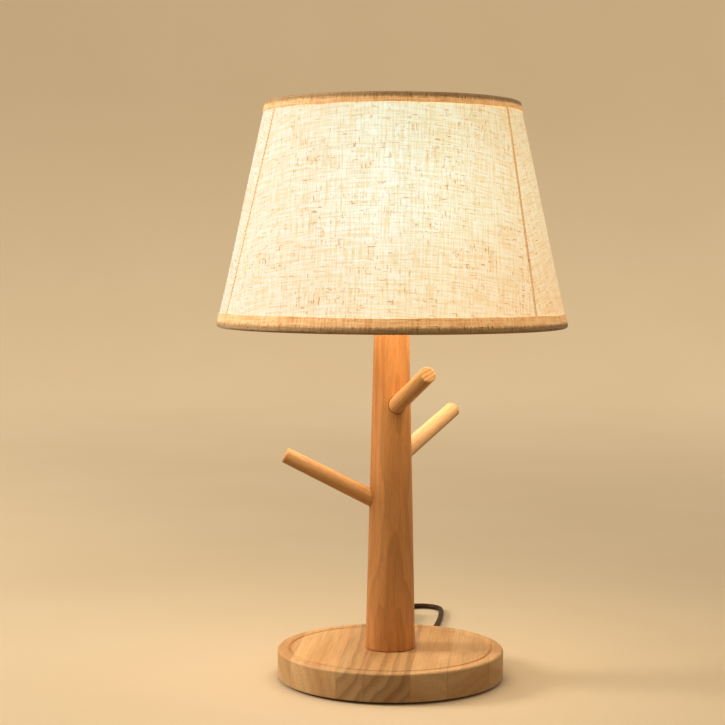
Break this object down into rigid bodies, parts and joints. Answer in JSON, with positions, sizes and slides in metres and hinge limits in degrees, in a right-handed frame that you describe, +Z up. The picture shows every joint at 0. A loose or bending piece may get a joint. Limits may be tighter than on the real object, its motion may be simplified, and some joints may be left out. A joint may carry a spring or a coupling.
{
  "type": "bedside lamp",
  "caption": "Table lamp with a turned wooden post, peg branches for hanging small things, a round board, a tapered linen shade and a lead with an in-line rocker switch",
  "frame": {"origin": "On the ground under the middle of the round board, on the post's axis", "axes": "+Z up along the post; +Y to the back, where the lead leaves the board; +X to the right seen from the front"},
  "size_m": [0.3008, 0.4432, 0.4945],
  "materials": {
    "wood": "satin oiled beech-like wood",
    "felt": "dense matt felt",
    "steel": "zinc-plated",
    "brass": "plain",
    "holder": "smooth off-white",
    "bulb_metal": "rolled thread",
    "bulb_glass": "opal white coating",
    "linen": "coarse slub linen",
    "trim": "folded linen tape",
    "frame_wire": "white coated wire",
    "lead": "smooth satin sheath",
    "switch": "fine satin"
  },
  "bodies": {
    "stand": {"base_board": "wood", "base_felt": "felt", "post": "wood", "peg_left": "wood", "peg_front": "wood", "peg_back": "wood", "base_washer": "steel", "base_nut": "steel", "threaded_pipe": "steel", "cap_washer": "brass", "holder_nut": "steel", "holder_cup": "holder", "holder_shell": "holder", "holder_insulator": "holder", "screw_shell": "brass", "centre_contact": "brass", "bulb_cap": "bulb_metal", "bulb_globe": "bulb_glass", "clamp_ring": "holder", "cord_relief": "lead", "inner_lead": "lead", "cord_to_switch": "lead", "switch_base": "switch", "switch_cover": "switch", "cord_to_coil": "lead", "cord_coil": "lead", "coil_tie": "lead", "cord_to_plug": "lead", "plug_body": "lead", "plug_blade_left": "brass", "plug_blade_right": "brass"},
    "shade": {"shade_linen": "linen", "shade_bottom_trim": "trim", "shade_top_trim": "trim", "shade_bottom_hoop": "frame_wire", "shade_top_hoop": "frame_wire", "shade_rib_1": "frame_wire", "shade_rib_2": "frame_wire", "shade_rib_3": "frame_wire", "shade_arm_1": "frame_wire", "shade_arm_2": "frame_wire", "shade_arm_3": "frame_wire", "fitter_ring": "frame_wire"},
    "rocker": {"switch_rocker": "switch"}
  },
  "joints": [
    {"name": "shade_turn", "type": "hinge", "parent": "stand", "child": "shade", "pos_m": [0, 0, 0.3465], "axis": [0, 0, 1], "continuous": true},
    {"name": "switch_rocker_tip", "type": "hinge", "parent": "stand", "child": "rocker", "pos_m": [0.0004, 0.232, 0.0127], "axis": [0.9659, -0.2588, 0], "range_deg": [0, 16]}
  ]
}
